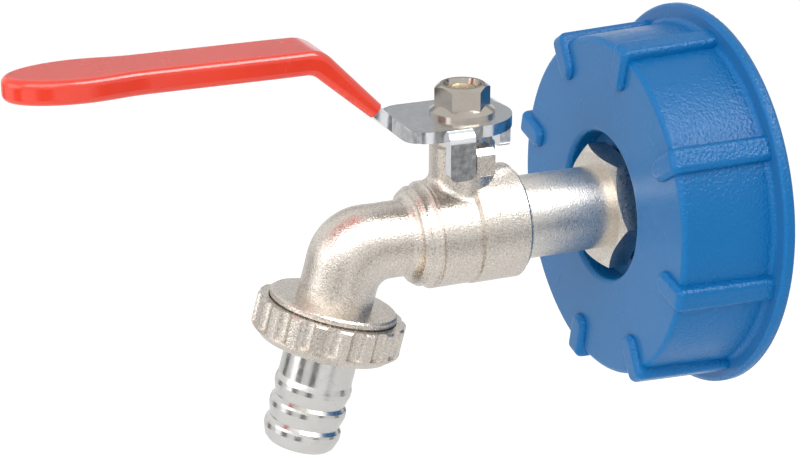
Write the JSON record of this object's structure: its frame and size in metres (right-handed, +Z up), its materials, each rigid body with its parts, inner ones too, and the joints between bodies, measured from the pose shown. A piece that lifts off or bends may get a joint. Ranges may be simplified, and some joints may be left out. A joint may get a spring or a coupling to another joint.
{
  "type": "container ball valve",
  "caption": "Lever ball valve on a ribbed screw cap for a bulk container outlet, with an elbow spout, fluted union nut and barbed hose tail.",
  "frame": {"origin": "centre of the cap's open mouth, on its flat rim", "axes": "+Y along the valve's axis to the tank, +Z up through the stem, lever along -Y when open"},
  "size_m": [0.082, 0.1495, 0.0872],
  "materials": {
    "cap_plastic": "fine moulded",
    "seal_rubber": "matte",
    "ptfe": "smooth",
    "nickel_brass": "nickel plated",
    "cast_nickel": "bead blasted",
    "chromed_steel": "bright",
    "grip_plastic": "gloss dip",
    "plated_steel": "bright plated",
    "brass": "turned",
    "polished_chrome": "polished",
    "polished_nickel": "polished"
  },
  "bodies": {
    "root": {"tank_cap": "cap_plastic", "tank_gasket": "seal_rubber", "inlet_gasket": "seal_rubber", "inlet_tailpiece": "nickel_brass", "body_seal": "ptfe", "valve_body": "cast_nickel", "seat_inlet": "ptfe", "seat_outlet": "ptfe", "thrust_washer": "ptfe", "stem_packing": "ptfe", "gland_nut": "nickel_brass"},
    "lever": {"lever": "chromed_steel", "lever_grip": "grip_plastic", "lever_nut": "plated_steel", "stem": "brass", "stem_o_ring": "seal_rubber", "ball": "polished_chrome"},
    "hose_tail": {"hose_tail": "polished_nickel", "union_washer": "seal_rubber"},
    "union_nut": {"union_nut": "cast_nickel"}
  },
  "joints": [
    {"name": "lever_turn", "type": "hinge", "parent": "root", "child": "lever", "pos_m": [0, -0.05525, 0.0234], "axis": [0, 0, 1], "range_deg": [-90, 0]},
    {"name": "tail_slide", "type": "slide", "parent": "root", "child": "hose_tail", "axis": [0, -0.2656, -0.9641], "range_m": [0, 0.0065]},
    {"name": "nut_turn", "type": "hinge", "parent": "hose_tail", "child": "union_nut", "pos_m": [0, -0.08488, -0.01735], "axis": [0, -0.2656, -0.9641], "range_deg": [0, 1260]}
  ],
  "couplings": [
    {"joint": "tail_slide", "follows": "nut_turn", "m_per_rad": 0.00028871}
  ]
}
